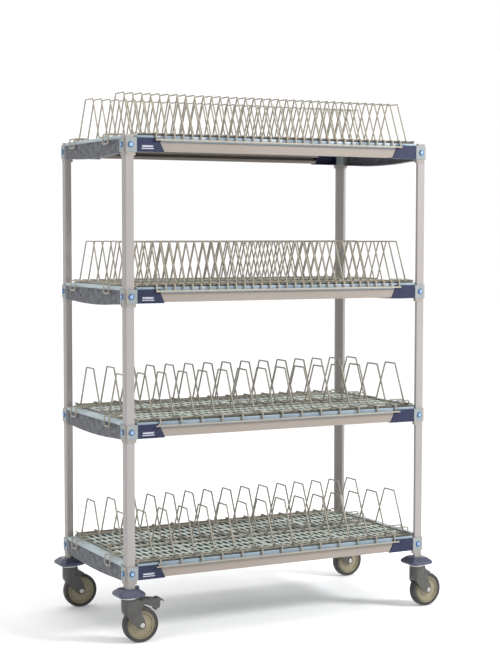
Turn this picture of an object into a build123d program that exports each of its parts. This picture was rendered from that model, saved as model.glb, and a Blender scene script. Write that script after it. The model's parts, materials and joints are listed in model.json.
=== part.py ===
from build123d import *
import math
import os

# Four-tier mobile drying-rack cart, millimetres, +Z up.
# X runs along the long side, Y from front (-) to rear (+); left is -X.
# The pieces are modelled about the middle of the post frame and moved at the end,
# so that the origin is on the floor in the middle of the whole footprint.
# Corner pieces are drawn at the front left: origin on the outer corner of the post,
# +X and +Y towards the middle of the cart. Tier pieces have z = 0 at the lock buttons.

# ---------------------------------------------------------------- driving sizes
FRAME_L, FRAME_W = 1190.0, 598.0    # outer faces of the posts along X and Y
HALF_L, HALF_W = FRAME_L / 2, FRAME_W / 2

POST_S = 32.0               # post section across its outer faces
POST_CH = 11.0              # where the inner chamfer of the section starts
POST_WALL = 2.0
POST_Z0, POST_Z1 = 170.0, 1717.0
NOTCH_PITCH = 25.4          # shelf height steps on the posts
NOTCH_Z0 = 208.0            # lowest notch
NOTCH_END = 20.0            # no notches this close to the post top

LOWEST_TIER = 239.2         # lock button height of the bottom tier
TIERS = [LOWEST_TIER + NOTCH_PITCH * steps for steps in (57, 37, 19, 0)]

PAD = 41.0                  # reach of a corner collar from the outer corner
PAD_T = 4.5                 # collar thickness outside the post
PAD_H = 24.0                # half height of a collar
PAD_GAP = 0.4               # from a collar to the castings and end frames
BUTTON_U = 18.75            # lock button centre from the outer corner
BUTTON_R = 9.5

MAT_TOP, MAT_T = 32.0, 8.0  # mat surface above the tier datum, mat thickness
MAT_BOT = MAT_TOP - MAT_T
MAT_X, MAT_Y = HALF_L + 3.0, HALF_W + 1.0   # half size of the whole mat
BEAM_TOP, BEAM_BOT, BEAM_D = 11.0, -20.0, 32.0
CAST_TOP, CAST_BOT = 23.9, -23.3
CAST_OUT = 2.5              # casting face outside the post faces
SLANT_TOP, SLANT_BOT = 475.0, 452.0         # where a corner casting ends, from the middle

WIRE_R, RAIL_R = 2.4, 3.0
WIRE_BEND = 6.5
RACK_X = 550.0              # first and last loop from the middle
LOOP_TOP = 186.0            # top of the loops above the tier datum
# loops along the rack, row centre from the middle, half width of a loop at top and foot
PLATE_RACK = (34, 143.0, (35.0, 98.0))
TRAY_RACK = (15, 142.0, (34.0, 97.0))

SWIVEL_IN = 14.0            # swivel axis from the outer faces
WHEEL_R, WHEEL_W = 62.5, 32.0
TRAIL = 40.0
# side along X, side along Y, turn from +X towards +Y in degrees, has a brake
CASTERS = {
    "front_left": (-1, -1, -4.0, True),
    "front_right": (1, -1, 3.5, False),
    "rear_left": (-1, 1, -3.0, False),
    "rear_right": (1, 1, 3.5, True),
}

nodes = {}


# ---------------------------------------------------------------- helpers
def add(node, *shapes):
    nodes.setdefault(node, []).extend(shapes)


def poly(pts):
    """A polygon whose face looks along its plane's normal, whichever way its points run."""
    area = sum(a[0] * b[1] - b[0] * a[1] for a, b in zip(pts, pts[1:] + pts[:1]))
    return Polygon(*(pts if area > 0 else pts[::-1]), align=None)


def prism(pts, z0, z1):
    return Pos(0, 0, z0) * extrude(poly(pts), amount=z1 - z0)


def box(x0, x1, y0, y1, z0, z1):
    return Pos((x0 + x1) / 2, (y0 + y1) / 2, (z0 + z1) / 2) * Box(x1 - x0, y1 - y0, z1 - z0)


def cyl_x(r, x0, x1, y, z):
    return Pos((x0 + x1) / 2, y, z) * Rot(0, 90, 0) * Cylinder(r, x1 - x0)


def cyl_y(r, y0, y1, x, z):
    return Pos(x, (y0 + y1) / 2, z) * Rot(90, 0, 0) * Cylinder(r, y1 - y0)


def cyl_z(r, z0, z1):
    return Pos(0, 0, z0) * Cylinder(r, z1 - z0, align=(Align.CENTER, Align.CENTER, Align.MIN))


def rod(points, r, bend):
    path = FilletPolyline(*points, radius=bend) if len(points) > 2 else Line(*points)
    section = Plane(origin=path @ 0, z_dir=path % 0) * Circle(r)
    return sweep(section, path=path)


def turned(half):
    """A part turned about Y, from the (radius, y) points of its -Y half."""
    return revolve(poly(half + [(r, -y) for r, y in reversed(half)]), axis=Axis.Y)


def pair(shape, plane):
    return [shape, mirror(shape, about=plane)]


def corners(shape):
    """A corner piece at front left, front right, rear left and rear right."""
    front = pair(Pos(-HALF_L, -HALF_W, 0) * shape, Plane.YZ)
    return front + [mirror(s, about=Plane.XZ) for s in front]


# ---------------------------------------------------------------- posts and caps
def post_section():
    """Square with its inner corner cut off and its other corners rounded."""
    section = poly([(0, 0), (POST_S, 0), (POST_S, POST_CH), (POST_CH, POST_S), (0, POST_S)])
    section = fillet(section.vertices().sort_by_distance((0, 0, 0))[0], 4.0)
    return fillet([v for v in section.vertices() if v.X + v.Y > POST_S - 1], 2.5)


def grown(section, amount):
    return offset(section, amount=amount, kind=Kind.INTERSECTION)


def make_post(section):
    tube = extrude(section - grown(section, -POST_WALL), amount=POST_Z1 - POST_Z0)
    chamfer_mid = (POST_S + POST_CH) / 2
    count = int((POST_Z1 - NOTCH_END - NOTCH_Z0) / NOTCH_PITCH) + 1
    notches = [
        Pos(chamfer_mid, chamfer_mid, NOTCH_Z0 + NOTCH_PITCH * k) * Rot(0, 0, 45) * Box(2.2, 17, 3.0)
        for k in range(count)
    ]
    return (Pos(0, 0, POST_Z0) * tube - notches).solid()


def make_cap(section):
    gap = 0.3
    top = Pos(0, 0, POST_Z1 + 0.05) * extrude(grown(section, -gap), amount=3.0)
    plug = extrude(grown(section, -POST_WALL - gap), amount=12.1)
    return top + Pos(0, 0, POST_Z1 - 12) * plug


SECTION = post_section()
for name, post in zip(CASTERS, corners(make_post(SECTION))):
    add(f"post_{name}", post)
add("post_caps", *corners(make_cap(SECTION)))


# ---------------------------------------------------------------- collars and lock buttons
def collar_outline(outside, reach, chamfer, opening):
    """Wrap round the post, open at its outer corner."""
    fit = 0.12
    far, cut = POST_S + fit, POST_CH + 0.1
    return [
        (opening, -outside), (reach, -outside), (reach, chamfer),
        (chamfer, reach), (-outside, reach), (-outside, opening),
        (-fit, opening), (-fit, far), (cut, far), (far, cut), (far, -fit), (opening, -fit),
    ]


def make_collar():
    body = prism(collar_outline(PAD_T, PAD, 17, 2.5), -PAD_H, PAD_H)
    lip = prism(collar_outline(1.6, 37, 14, 5), -PAD_H - 12, -PAD_H)
    hole = (BUTTON_R + 0.25, -10, -0.05, BUTTON_U, 0)
    return body + lip - cyl_y(*hole) - cyl_x(*hole)


def make_button():
    """Lock button standing along +Y."""
    r = BUTTON_R
    # radius, height
    return revolve(poly([
        (0, 0.2), (r, 0.2), (r, 7.0), (r - 1.2, 8.2), (r - 3.0, 8.2),
        (r - 3.6, 7.4), (r - 5.2, 8.8), (r - 7.5, 9.5), (0, 9.7),
    ]), axis=Axis.Y)


collar, button = make_collar(), make_button()
button_y = Pos(BUTTON_U, 0, 0) * Rot(0, 0, 180) * button    # on the face across Y
button_x = Pos(0, BUTTON_U, 0) * Rot(0, 0, 90) * button     # on the face across X
for tier_z in TIERS:
    at = Pos(0, 0, tier_z)
    add("wedge_collars", *corners(at * collar))
    add("lock_buttons", *corners(at * button_y), *corners(at * button_x))


# ---------------------------------------------------------------- tier frames
def make_casting():
    """Corner casting along X with a slanted end, hollow towards the middle of the cart."""
    start = PAD + PAD_GAP
    top, bottom = HALF_L - SLANT_TOP, HALF_L - SLANT_BOT
    outline = [(start, CAST_BOT), (bottom, CAST_BOT), (top, CAST_TOP), (start, CAST_TOP)]
    depth = 28.0
    body = Pos(0, depth - CAST_OUT, 0) * extrude(Plane.XZ * poly(outline), amount=depth)
    wall = 3.2
    pocket = [(start + wall, -20), (bottom - 5, -20), (top - 4, 20.8), (start + wall, 20.8)]
    return body - Pos(0, 30, 0) * extrude(Plane.XZ * poly(pocket), amount=29.0)


def make_beam():
    """Front beam: a channel open to the rear, its ends cut along the casting slants."""
    wall, web = 2.2, 2.4
    low, high, lip = BEAM_BOT + wall, BEAM_TOP - wall, BEAM_D - wall
    channel = poly([
        (0, BEAM_BOT), (BEAM_D, BEAM_BOT), (BEAM_D, -9), (lip, -9), (lip, low), (web, low),
        (web, high), (lip, high), (lip, 3.5), (BEAM_D, 3.5), (BEAM_D, BEAM_TOP), (0, BEAM_TOP),
    ])
    half = 490.0
    beam = Pos(-half, -HALF_W, 0) * extrude(Plane.YZ * channel, amount=2 * half)
    top, bottom = SLANT_TOP - 0.5, SLANT_BOT - 0.5
    ends = [(-top, CAST_TOP), (top, CAST_TOP), (bottom, CAST_BOT), (-bottom, CAST_BOT)]
    return beam & (Pos(0, -HALF_W + 40, 0) * extrude(Plane.XZ * poly(ends), amount=60.0))


END_Y = HALF_W - PAD - PAD_GAP
END_OUT = 5.0               # end frame face outside the post faces
# y, z along the sagging lower edge, from the front to the middle
SAG = [(-END_Y, -27), (-200, -29.5), (-130, -33.5), (-60, -35.6), (0, -36)]


def make_end_frame():
    """Left end: face plate, foot and top flanges, and a row of crossed ribs."""
    top = 20
    edge = SAG + [(-y, z) for y, z in reversed(SAG[:-1])]
    at = Pos(-HALF_L - END_OUT, 0, 0)
    face = [(-END_Y, top)] + edge + [(END_Y, top)]
    foot = edge + [(y, z + 4) for y, z in reversed(edge)]
    frame = at * extrude(Plane.YZ * poly(face), amount=END_OUT)
    frame = frame + at * extrude(Plane.YZ * poly(foot), amount=20.0)
    frame = frame + box(-HALF_L - END_OUT, -HALF_L + 30, -END_Y, END_Y, 16.5, top)
    bays, bay, rise = 6, 70.0, 42.0
    rib = Box(1.6, math.hypot(bay, rise) * 0.93, 3.0)
    for k in range(bays):
        y = bay * (k + 0.5 - bays / 2)
        for run in (bay, -bay):
            tilt = math.degrees(math.atan2(rise, run))
            frame = frame + Pos(-HALF_L - END_OUT - 0.5, y, -6) * Rot(tilt, 0, 0) * rib
    return frame


casting, beam, end_frame = make_casting(), make_beam(), make_end_frame()
label = box(58, 104, -CAST_OUT - 0.85, -CAST_OUT - 0.05, -15, 1)
for i, tier_z in enumerate(TIERS, 1):
    at = Pos(0, 0, tier_z)
    add("shelf_corner_castings", *corners(at * casting))
    add(f"long_beams_{i}", *pair(at * beam, Plane.XZ))
    add(f"end_frames_{i}", *pair(at * end_frame, Plane.YZ))
    add("corner_labels", Pos(-HALF_L, -HALF_W, tier_z) * label)

# ---------------------------------------------------------------- mats
MAT_SECTIONS = 4
MAT_JOINT = 0.4             # half the gap between two sections
HOLE_COLS, HOLE_ROWS = 9, 6
HOLE_EDGE = 8.0             # first and last column cells from the section ends
HOLE_WEB = 4.0              # half the web between holes


def wire_loop(pts):
    return Wire.make_polygon([Vector(x, y, 0) for x, y in pts], close=True)


def make_mat(k):
    """Mat section k from the left; the two end ones are notched round the collars."""
    first, last = k == 0, k == MAT_SECTIONS - 1
    length = 2 * MAT_X / MAT_SECTIONS
    x0 = -MAT_X + k * length + (0 if first else MAT_JOINT)
    x1 = -MAT_X + (k + 1) * length - (0 if last else MAT_JOINT)
    notch_x, notch_y = HALF_L - PAD - 0.5, HALF_W - PAD - 0.5
    if first:
        left = [(x0, notch_y), (x0, -notch_y), (-notch_x, -notch_y), (-notch_x, -MAT_Y)]
        pts = left + [(x1, -MAT_Y), (x1, MAT_Y), (-notch_x, MAT_Y), (-notch_x, notch_y)]
    elif last:
        right = [(notch_x, -MAT_Y), (notch_x, -notch_y), (x1, -notch_y), (x1, notch_y)]
        pts = [(x0, -MAT_Y)] + right + [(notch_x, notch_y), (notch_x, MAT_Y), (x0, MAT_Y)]
    else:
        pts = [(x0, -MAT_Y), (x1, -MAT_Y), (x1, MAT_Y), (x0, MAT_Y)]

    holes = []
    pitch = (x1 - x0 - 2 * HOLE_EDGE) / HOLE_COLS
    half_x = pitch / 2 - HOLE_WEB
    for col in range(HOLE_COLS):
        x = x0 + HOLE_EDGE + pitch * (col + 0.5)
        reach = 286.0 if abs(x) + half_x < notch_x - 3 else notch_y - 6
        step = 2 * reach / HOLE_ROWS
        half_y = step / 2 - HOLE_WEB
        for row in range(HOLE_ROWS):
            y = -reach + step * (row + 0.5)
            holes.append(wire_loop([
                (x - half_x, y - half_y), (x + half_x, y - half_y),
                (x + half_x, y + half_y), (x - half_x, y + half_y),
            ]))
    mat = Pos(0, 0, MAT_BOT) * extrude(Face(wire_loop(pts), holes), amount=MAT_T, dir=(0, 0, 1))

    # rims hanging under the front and rear edges, and under the ends of the cart
    rim_x0, rim_x1 = max(x0, -466.0), min(x1, 466.0)
    for side in (-1, 1):
        y0, y1 = sorted((side * MAT_Y, side * (MAT_Y - 5.5)))
        mat = mat + box(rim_x0, rim_x1, y0, y1, BEAM_TOP + 0.1, MAT_BOT)
    if first or last:
        end_x0, end_x1 = (x0, x0 + 5) if first else (x1 - 5, x1)
        mat = mat + box(end_x0, end_x1, -notch_y, notch_y, 20.1, MAT_BOT)
    return mat


mats = [make_mat(k) for k in range(MAT_SECTIONS)]
for i, tier_z in enumerate(TIERS, 1):
    add(f"mats_{i}", *[Pos(0, 0, tier_z) * mat for mat in mats])

# ---------------------------------------------------------------- racks
# Each rack is a welded wire mat: rails and end bars lie on the mat, the formed
# loop wires are welded across them, a skirt of short wires and one lower rod
# hangs over the front and rear rims, and four hooks reach over the ends.
RAIL_Z = MAT_TOP + 0.2 + RAIL_R                 # rails lying on the mat
WIRE_Z = RAIL_Z + RAIL_R + WIRE_R + 0.05        # wires lying on the rails
WIRE_END = MAT_Y + 0.4                          # end of a loop wire, where its skirt wire starts
SKIRT_Y = MAT_Y + 2.6 + WIRE_R                  # hanging part of the skirt wires
LOWER_Y = SKIRT_Y + WIRE_R + RAIL_R + 0.05      # lower rod
LOWER_Z = 17.6
SKIRT_X = 486.0                                 # loops nearer the middle than this have a skirt


def loop_wire(row, half, y_end):
    """One wire across the rack, with a loop over each row."""
    top, foot = half
    crest = LOOP_TOP - WIRE_R
    rear = [(row - foot, WIRE_Z), (row - top, crest), (row + top, crest),
            (row + foot, WIRE_Z), (y_end, WIRE_Z)]
    front = [(-y, z) for y, z in reversed(rear)]
    return rod([(0, y, z) for y, z in front + rear], WIRE_R, WIRE_BEND)


def hook(side_x, side_y):
    inner, outer = side_x * (RACK_X + 3), side_x * (HALF_L + 13.4)
    y0, y1 = side_y * 137.0, side_y * 183.0
    low = 8.0
    return rod([(inner, y0, WIRE_Z), (outer, y0, WIRE_Z), (outer, y0, low),
                (outer, y1, low), (outer, y1, WIRE_Z), (inner, y1, WIRE_Z)], WIRE_R, WIRE_BEND)


def add_rack(prefix, i, tier_z, count, row, half):
    at = Pos(0, 0, tier_z)
    loops, skirt, rails = (f"{prefix}_{part}_{i}" for part in ("loops", "skirt", "rails"))
    long_wire = loop_wire(row, half, WIRE_END)
    short_wire = loop_wire(row, half, HALF_W - 2)
    drop_pts = [(0, WIRE_END + 0.1, WIRE_Z), (0, SKIRT_Y, WIRE_Z), (0, SKIRT_Y, LOWER_Z - 3)]
    drops = pair(rod(drop_pts, WIRE_R, 4.0), Plane.XZ)
    for k in range(count):
        x = -RACK_X + 2 * RACK_X / (count - 1) * k
        over = abs(x) < SKIRT_X
        add(loops, at * Pos(x, 0, 0) * (long_wire if over else short_wire))
        if over:
            add(skirt, *[at * Pos(x, 0, 0) * drop for drop in drops])

    rail_x = RACK_X + 5.5
    foot = half[1] + 9
    for side in (-1, 1):
        for y, reach in ((row - foot, rail_x), (row + foot, rail_x), (294.0, 548.0)):
            add(rails, at * cyl_x(RAIL_R, -reach, reach, side * y, RAIL_Z))
        add(rails, at * cyl_y(RAIL_R, -256, 256, side * (rail_x + RAIL_R + 0.05), RAIL_Z))
        add(skirt, at * cyl_x(RAIL_R, -SKIRT_X - 2, SKIRT_X + 2, side * LOWER_Y, LOWER_Z))
    for side_x in (-1, 1):
        for side_y in (-1, 1):
            add(skirt, at * hook(side_x, side_y))


for i, tier_z in enumerate(TIERS, 1):
    if i <= 2:
        add_rack("plate_rack", i, tier_z, *PLATE_RACK)
    else:
        add_rack("tray_rack", i, tier_z, *TRAY_RACK)

# ---------------------------------------------------------------- caster mounts
# drawn about the swivel axis, in the directions of a corner piece
SEAT_Z = 154.4              # underside of the swivel ring
STEM_HOLE_R = 8.2
# height, half width, corner radius
BUMPER_LEVELS = [
    (160.5, 35.0, 15.0), (164.5, 46.5, 20.0), (168.0, 48.5, 21.0),
    (173.0, 48.5, 21.0), (178.5, 43.5, 18.0), (188.0, 30.0, 11.0),
]


def make_bumper():
    rings = [Pos(0, 0, z) * RectangleRounded(2 * half, 2 * half, r) for z, half, r in BUMPER_LEVELS]
    bumper = None
    for lower, upper in zip(rings, rings[1:]):
        piece = loft([lower, upper], ruled=True)
        bumper = piece if bumper is None else bumper + piece
    socket = extrude(grown(SECTION, 0.25), amount=40)
    bumper = bumper - Pos(-SWIVEL_IN, -SWIVEL_IN, POST_Z0 - 0.2) * socket
    bumper = bumper - cyl_z(STEM_HOLE_R, 140, 180)
    return bumper + box(20, 35, -9, 5, 176, 195)


stem = cyl_z(8.0, SEAT_Z, 317.0) + cyl_z(7.0, 137.0, 154.9)
ring = cyl_z(28.0, SEAT_Z, 159.8) - cyl_z(STEM_HOLE_R, SEAT_Z, 159.8)
for node, shape in (("bumpers", make_bumper()), ("caster_stems", stem), ("swivel_rings", ring)):
    add(node, *corners(Pos(SWIVEL_IN, SWIVEL_IN, 0) * shape))

# ---------------------------------------------------------------- casters
# local frame: swivel axis at the origin, trail along +X, floor at z = 0
FORK_HALF, FORK_GAP = 24.0, 18.5    # half width outside, and inside between the arms
PEDAL_PIVOT = (36.0, 138.0)         # along the trail, height
PIN_R, CLEAR = 3.0, 0.05

# outlines along the trail, height
ARM = [
    (-26, 153.6), (-26, 124), (-24.5, 114), (-20.5, 105), (-8, 88.5), (10, 66.5),
    (25, 53.5), (31, 50.8), (37, 49.5), (43, 49.9), (48.2, 52.3), (51.9, 56.8),
    (52.9, 63), (51.6, 71), (47.5, 82), (42, 94.5), (37.6, 104.5), (36.4, 112),
]
# over the wheel the crown ends in a low hood, or in two cheeks that carry the pedal
HOOD = [
    (37.2, 118), (42, 123.2), (49.5, 126), (51.2, 128.2), (49.5, 130.6),
    (42, 134.2), (33.5, 139.2), (28, 144.5), (26.5, 149.5), (26.5, 153.6),
]
CHEEK = [
    (37.6, 119), (42.5, 125), (47, 130.5), (47.2, 136.5),
    (43.5, 142), (36, 146), (29, 149.6), (26.5, 153.6),
]
PEDAL = [
    (30, 133), (30.5, 143.5), (36, 147), (50, 149.8), (69, 152), (82, 149.5),
    (92, 147.5), (99, 150.3), (106, 150.3), (113, 147), (121, 139.5), (119, 136.5),
    (111, 141.3), (108, 140), (106, 117.5), (101, 115), (96.5, 114), (95.5, 109.5),
    (89.5, 109.5), (89, 115), (83, 118.5), (77, 123), (58, 130.5), (44, 131.5),
]
# radius, y of the turned parts, from -Y to the middle
TYRE = [(49.5, -WHEEL_W / 2), (55.5, -WHEEL_W / 2), (59.5, -14.6), (61.7, -11.5), (WHEEL_R, -7)]
CORE = [
    (10, -15.5), (16, -15.5), (18, -12.5), (38.5, -11.5),
    (40.5, -13.2), (43.5, -13.2), (45, -12), (49.5, -12.6),
]
BUSH = [(6.05, -18.2), (9, -18.2), (9, -16), (10, -16)]
AXLE = [(0, -27.5), (6.5, -27.5), (8.5, -26), (8.5, -24.1), (6, -24.1)]


def make_fork(braked):
    fork = Plane.XZ * poly(ARM + (CHEEK if braked else HOOD))
    fork = extrude(fork, amount=FORK_HALF, both=True)
    fork = fork - cyl_y(WHEEL_R + 3.0, -FORK_GAP, FORK_GAP, TRAIL, WHEEL_R)
    fork = fork - cyl_y(6.05, -30, 30, TRAIL, WHEEL_R)
    fork = fork - cyl_z(7.05, 136.5, 166.5)
    # round the head in plan
    keep = box(0, 60, -FORK_HALF, FORK_HALF, 40, 154 if braked else 122) + cyl_z(26.5, 40, 154)
    if not braked:
        keep = keep + box(0, 60, -20.5, 20.5, 121, 154)
    fork = fork & keep
    if braked:
        fork = fork - box(27.5, 60, -FORK_GAP, FORK_GAP, 100, 156)
        fork = fork - cyl_y(PIN_R + CLEAR, -30, 30, *PEDAL_PIVOT)
    return fork


pedal = extrude(Plane.XZ * poly(PEDAL), amount=17.0, both=True)
pedal = pedal - cyl_y(PIN_R + CLEAR, -30, 30, *PEDAL_PIVOT)
pin = cyl_y(PIN_R, -24.4, 24.4, *PEDAL_PIVOT)
wheel_parts = {
    "axle": turned(AXLE), "tyre": turned(TYRE),
    "wheel_core": turned(CORE), "axle_bush": turned(BUSH),
}
for name, (side_x, side_y, turn, braked) in CASTERS.items():
    at = Pos(side_x * (HALF_L - SWIVEL_IN), side_y * (HALF_W - SWIVEL_IN), 0) * Rot(0, 0, turn)
    add(f"caster_fork_{name}", at * make_fork(braked))
    for part, shape in wheel_parts.items():
        add(f"{part}_{name}", at * Pos(TRAIL, 0, WHEEL_R) * shape)
    if braked:
        add(f"brake_pedal_{name}", at * pedal)
        add(f"caster_fork_{name}", at * pin)

# ---------------------------------------------------------------- centre on the footprint, write
bounds = [shape.bounding_box() for group in nodes.values() for shape in group]
centre_x = (min(b.min.X for b in bounds) + max(b.max.X for b in bounds)) / 2
centre_y = (min(b.min.Y for b in bounds) + max(b.max.Y for b in bounds)) / 2
to_origin = Pos(-centre_x, -centre_y, -min(b.min.Z for b in bounds))
os.makedirs("parts", exist_ok=True)
for node, group in nodes.items():
    solids = [solid for shape in group for solid in (to_origin * shape).solids()]
    whole = solids[0] if len(solids) == 1 else Compound(children=solids)
    whole.label = node
    export_step(whole, f"parts/{node}.step")
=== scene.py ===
"""Four-tier wheeled shelf rack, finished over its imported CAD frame.

The row frame has X along the shelves, front at -Y, left at -X and Z up from the floor. The
posts are centred on x = OX, y = 0. Parts are drawn in mm with x from that middle, and
row_frame() turns them into metres. Each tier's own z = 0 lies MAT_TOP below its mats' top.
Tiers 1 and 2 carry plate racks, tiers 3 and 4 carry tray racks.
"""
import bpy
import bmesh
import json
import math
import numpy as np
from contextlib import contextmanager
from functools import cached_property
from mathutils import Vector, Matrix


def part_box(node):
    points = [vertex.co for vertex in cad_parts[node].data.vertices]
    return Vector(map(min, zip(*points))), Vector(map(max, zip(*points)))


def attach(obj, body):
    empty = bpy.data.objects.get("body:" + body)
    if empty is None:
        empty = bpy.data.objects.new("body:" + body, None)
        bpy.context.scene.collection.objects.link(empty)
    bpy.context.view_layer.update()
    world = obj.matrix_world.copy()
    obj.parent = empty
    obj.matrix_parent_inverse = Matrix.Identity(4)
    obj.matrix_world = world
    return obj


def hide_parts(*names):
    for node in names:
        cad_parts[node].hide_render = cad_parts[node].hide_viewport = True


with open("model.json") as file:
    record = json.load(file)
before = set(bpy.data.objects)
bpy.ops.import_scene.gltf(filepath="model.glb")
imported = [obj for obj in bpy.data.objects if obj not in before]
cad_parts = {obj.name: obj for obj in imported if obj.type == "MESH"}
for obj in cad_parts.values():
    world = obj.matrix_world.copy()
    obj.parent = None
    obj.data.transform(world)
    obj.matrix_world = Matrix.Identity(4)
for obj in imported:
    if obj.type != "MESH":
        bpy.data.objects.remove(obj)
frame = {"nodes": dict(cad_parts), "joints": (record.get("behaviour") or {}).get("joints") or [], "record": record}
NODES = frame["nodes"]
JOINTS = {joint["name"]: joint for joint in frame["joints"]}
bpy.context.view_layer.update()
BODY = {node: body for body, members in frame["record"]["behaviour"]["bodies"].items()
        for node in members}

MM = 0.001
MAT_TOP = 32.0
post_low, post_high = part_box("post_front_left")[0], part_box("post_front_right")[1]
OX = (post_low.x + post_high.x) / 2           # middle of the posts, m
HX = (post_high.x - post_low.x) / 2 / MM      # outer post faces from the middle, mm
HY = -post_low.y / MM
TIERS = [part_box(f"mats_{i}")[1].z / MM - MAT_TOP for i in (1, 2, 3, 4)]


# ------------------------------------------------------------------ material building
MATERIALS = {}


def linear(colour):
    """An 8-bit sRGB colour as linear RGBA."""
    shares = [v / 255.0 for v in colour]
    return tuple(v / 12.92 if v <= 0.04045 else ((v + 0.055) / 1.055) ** 2.4
                 for v in shares) + (1.0,)


class Material:
    """A Principled material; colours are 8-bit sRGB tuples or sockets."""

    def __init__(self, name):
        material = bpy.data.materials.new(name)
        material.use_nodes = True
        MATERIALS[name] = material
        self.tree = material.node_tree
        self.tree.nodes.clear()
        output = self.node("ShaderNodeOutputMaterial")
        self.shader = self.node("ShaderNodeBsdfPrincipled")
        self.feed(output.inputs[0], self.shader.outputs[0])

    @cached_property
    def coords(self):
        return self.node("ShaderNodeTexCoord").outputs["Object"]

    def node(self, kind, **settings):
        node = self.tree.nodes.new(kind)
        for name, value in settings.items():
            setattr(node, name, value)
        return node

    def feed(self, socket, value):
        """Links a socket, or sets a number or a colour."""
        if isinstance(value, bpy.types.NodeSocket):
            self.tree.links.new(value, socket)
        else:
            socket.default_value = linear(value) if isinstance(value, tuple) else value

    def noise(self, scale, detail, rough, stretch=None, distortion=0.0):
        source = self.coords
        noise = self.node("ShaderNodeTexNoise")
        noise.inputs["Scale"].default_value = scale
        noise.inputs["Detail"].default_value = detail
        noise.inputs["Roughness"].default_value = rough
        noise.inputs["Distortion"].default_value = distortion
        if stretch:
            mapping = self.node("ShaderNodeMapping")
            mapping.inputs["Scale"].default_value = stretch
            self.feed(mapping.inputs["Vector"], source)
            source = mapping.outputs[0]
        self.feed(noise.inputs["Vector"], source)
        return noise.outputs["Fac"]

    def ramp(self, value, low, high):
        """0 at low, 1 at high."""
        node = self.node("ShaderNodeMapRange")
        node.inputs["From Min"].default_value = low
        node.inputs["From Max"].default_value = high
        self.feed(node.inputs["Value"], value)
        return node.outputs[0]

    def math(self, operation, first, second, **settings):
        node = self.node("ShaderNodeMath", operation=operation, **settings)
        self.feed(node.inputs[0], first)
        self.feed(node.inputs[1], second)
        return node.outputs[0]

    def vary(self, value, span, start):
        return self.math("ADD", self.math("MULTIPLY", value, span), start)

    def mix(self, first, second, mask, weight=None):
        """The first colour, with the second where the (weighted) mask is 1."""
        if weight is not None:
            mask = self.math("MULTIPLY", mask, weight)
        node = self.node("ShaderNodeMix", data_type="RGBA")
        for index, value in ((0, mask), (6, first), (7, second)):
            self.feed(node.inputs[index], value)
        return node.outputs[2]

    def edge(self, radius=0.0012, gain=6.0):
        """1 on edges, from the difference of a rounded normal and the true one; it masks the painted edge
        highlights.
        """
        bevel = self.node("ShaderNodeBevel", samples=4)
        bevel.inputs["Radius"].default_value = radius
        geometry = self.node("ShaderNodeNewGeometry")
        dot = self.node("ShaderNodeVectorMath", operation="DOT_PRODUCT")
        self.feed(dot.inputs[0], bevel.outputs[0])
        self.feed(dot.inputs[1], geometry.outputs["Normal"])
        difference = self.math("SUBTRACT", 1.0, dot.outputs["Value"])
        return self.math("MULTIPLY", difference, gain, use_clamp=True)

    def bump(self, first, second=None, distance=0.0005, strength=0.25):
        """Bump from one or two (height, weight) pairs."""
        height = self.math("MULTIPLY", *first)
        if second:
            height = self.math("ADD", height, self.math("MULTIPLY", *second))
        bump = self.node("ShaderNodeBump")
        bump.inputs["Distance"].default_value = distance
        bump.inputs["Strength"].default_value = strength
        self.feed(bump.inputs["Height"], height)
        self.feed(self.shader.inputs["Normal"], bump.outputs[0])

    def surface(self, **inputs):
        """Principled inputs by name, with _ for each space."""
        for name, value in inputs.items():
            self.feed(self.shader.inputs[name.replace("_", " ")], value)


def coat(name, base, dark, light, rough=0.42, grain=900.0, bump=0.16, edge=0.35, streak=None):
    """Powder coat: orange-peel bump, faint cloudiness, edges paler as a painted highlight."""
    m = Material(name)
    cloud = m.noise(scale=7.0, detail=5.0, rough=0.6, stretch=streak)
    fine = m.noise(scale=grain, detail=3.0, rough=0.6)
    peel = m.noise(scale=grain * 0.35, detail=2.0, rough=0.5)
    colour = m.mix(dark, base, m.ramp(cloud, low=0.3, high=0.7))
    colour = m.mix(colour, light, m.ramp(fine, low=0.35, high=0.75), weight=0.22)
    # edges lightened: painted highlight
    colour = m.mix(colour, light, m.edge(), weight=edge)
    m.surface(Base_Color=colour, Roughness=m.vary(fine, span=0.16, start=rough - 0.08), IOR=1.5)
    m.bump((peel, 0.7), (fine, 0.3), distance=0.0006, strength=bump)


def plastic(name, base, dark, light, rough=0.45, grain=1400.0, bump=0.2, edge=0.3, cloud=11.0,
            ior=1.48, subsurface=0.0):
    """Moulded polymer: spark-eroded grain, slight flow clouding, edges paler as a painted highlight."""
    m = Material(name)
    flow = m.noise(scale=cloud, detail=6.0, rough=0.62, distortion=0.6)
    fine = m.noise(scale=grain, detail=2.0, rough=0.6)
    middle = m.noise(scale=grain * 0.12, detail=4.0, rough=0.6)
    colour = m.mix(dark, base, m.ramp(flow, low=0.3, high=0.72))
    colour = m.mix(colour, light, m.ramp(middle, low=0.45, high=0.8), weight=0.18)
    # edges lightened: painted highlight
    colour = m.mix(colour, light, m.edge(radius=0.0015), weight=edge)
    m.surface(Base_Color=colour, Roughness=m.vary(middle, span=0.2, start=rough - 0.1), IOR=ior)
    m.bump((fine, 0.5), (middle, 0.5), strength=bump)
    if subsurface:
        m.surface(Subsurface_Weight=subsurface, Subsurface_Scale=0.004)


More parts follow.
